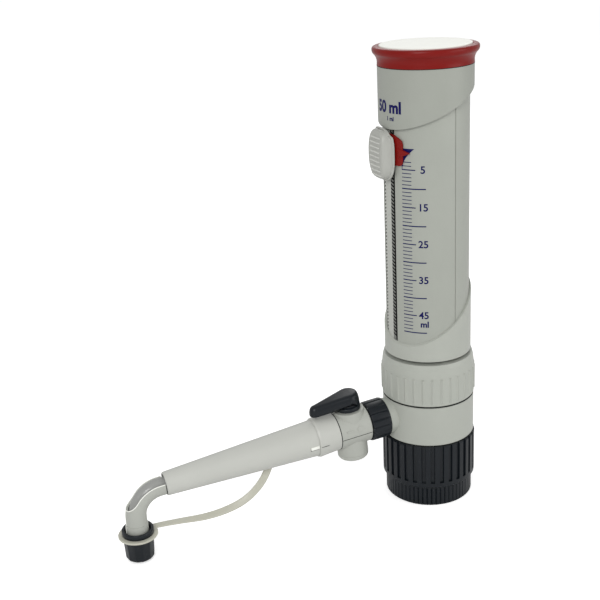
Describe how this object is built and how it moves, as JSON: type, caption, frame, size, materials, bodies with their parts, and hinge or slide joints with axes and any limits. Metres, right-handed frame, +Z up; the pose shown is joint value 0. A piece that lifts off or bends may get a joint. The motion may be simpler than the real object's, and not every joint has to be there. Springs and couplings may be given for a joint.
{
  "type": "bottle-top dispenser",
  "caption": "Bottle-top dispenser: threaded base, valve block, lifting sleeve with a geared dose slider, and a sloping delivery arm with stopcock, bent outlet and tethered cap.",
  "frame": {"origin": "centre of the bottle thread's mouth at the foot of the adapter, where the dispenser also stands", "axes": "+Z up along the column, towards the head; the delivery arm points along -X and slopes down a little; the dose scale faces -Y"},
  "size_m": [0.2274, 0.059, 0.2759],
  "materials": {
    "grey_moulding": "satin moulded polypropylene, cool light grey",
    "pale_moulding": "satin moulded polypropylene, pale grey",
    "rack_moulding": "moulded acetal, light grey",
    "black_moulding": "satin moulded polypropylene, near black",
    "red_moulding": "semi-gloss moulded polypropylene, red",
    "white_label": "matt white disc",
    "fluoropolymer": "machined PTFE, waxy white",
    "jet_fluoropolymer": "drawn FEP tube, smooth, grey through its wall",
    "strap_elastomer": "soft translucent polyethylene, off-white",
    "barrel_glass": "clear borosilicate glass",
    "valve_ceramic": "polished ceramic ball"
  },
  "bodies": {
    "valve_head": {"valve_block": "grey_moulding", "inlet_seat": "fluoropolymer", "inlet_cage": "fluoropolymer", "outlet_seat": "fluoropolymer", "outlet_cage": "fluoropolymer", "barrel_seal": "fluoropolymer", "glass_barrel": "barrel_glass", "barrel_guide": "fluoropolymer", "barrel_jacket": "grey_moulding", "jacket_foot": "grey_moulding", "guide_strips": "fluoropolymer", "mouth_gasket": "fluoropolymer", "stopcock_housing": "pale_moulding", "boss_cap": "pale_moulding", "nozzle_collar": "pale_moulding", "nozzle_taper": "pale_moulding", "spout": "pale_moulding", "jet_tube": "jet_fluoropolymer", "cap_strap": "strap_elastomer"},
    "bottle_ring": {"bottle_ring": "black_moulding"},
    "thread_adapter": {"thread_adapter": "black_moulding"},
    "locking_ring": {"locking_ring": "grey_moulding"},
    "plunger": {"sleeve_tube": "grey_moulding", "lower_shell": "grey_moulding", "upper_shell": "grey_moulding", "head_ring": "red_moulding", "top_disc": "white_label", "plunger_rod": "grey_moulding", "piston": "fluoropolymer", "piston_seals": "fluoropolymer", "volume_rack": "rack_moulding"},
    "dose_slider": {"slider_carriage": "red_moulding", "dose_pointer": "red_moulding"},
    "thumb_button": {"thumb_button": "pale_moulding"},
    "union_nut": {"union_nut": "black_moulding"},
    "stopcock": {"stopcock_plug": "fluoropolymer", "stopcock_lever": "black_moulding"},
    "nozzle_cap": {"nozzle_cap": "black_moulding"},
    "inlet_ball": {"inlet_ball": "valve_ceramic"},
    "outlet_ball": {"outlet_ball": "valve_ceramic"}
  },
  "joints": [
    {"name": "ring_turn", "type": "hinge", "parent": "valve_head", "child": "bottle_ring", "pos_m": [0, 0, 0.027], "axis": [0, 0, 1], "continuous": true},
    {"name": "adapter_turn", "type": "hinge", "parent": "bottle_ring", "child": "thread_adapter", "pos_m": [0, 0, 0.006], "axis": [0, 0, 1], "continuous": true},
    {"name": "locking_turn", "type": "hinge", "parent": "valve_head", "child": "locking_ring", "pos_m": [0, 0, 0.08], "axis": [0, 0, 1], "continuous": true},
    {"name": "plunger_lift", "type": "slide", "parent": "valve_head", "child": "plunger", "axis": [0, 0, 1], "range_m": [0, 0.1063]},
    {"name": "dose_slide", "type": "slide", "parent": "plunger", "child": "dose_slider", "axis": [0, 0, -1], "range_m": [-0.0016, 0.1047]},
    {"name": "thumb_press", "type": "slide", "parent": "dose_slider", "child": "thumb_button", "axis": [1, 0, 0], "range_m": [0, 0.001], "stiffness_N_per_m": 1500, "springref_m": -0.001},
    {"name": "nut_turn", "type": "hinge", "parent": "valve_head", "child": "union_nut", "pos_m": [-0.03688, 0, 0.05405], "axis": [-0.9968, 0, -0.0799], "continuous": true},
    {"name": "stopcock_turn", "type": "hinge", "parent": "valve_head", "child": "stopcock", "pos_m": [-0.05283, 0, 0.05277], "axis": [-0.0799, 0, 0.9968], "range_deg": [0, 90]},
    {"name": "cap_pull", "type": "slide", "parent": "valve_head", "child": "nozzle_cap", "axis": [0, 0, -1], "range_m": [0, 0.0075], "deforming": ["cap_strap"]},
    {"name": "inlet_lift", "type": "slide", "parent": "valve_head", "child": "inlet_ball", "axis": [0, 0, 1], "range_m": [0, 0.0012]},
    {"name": "outlet_lift", "type": "slide", "parent": "valve_head", "child": "outlet_ball", "axis": [-0.9968, 0, -0.0799], "range_m": [0, 0.001]}
  ]
}
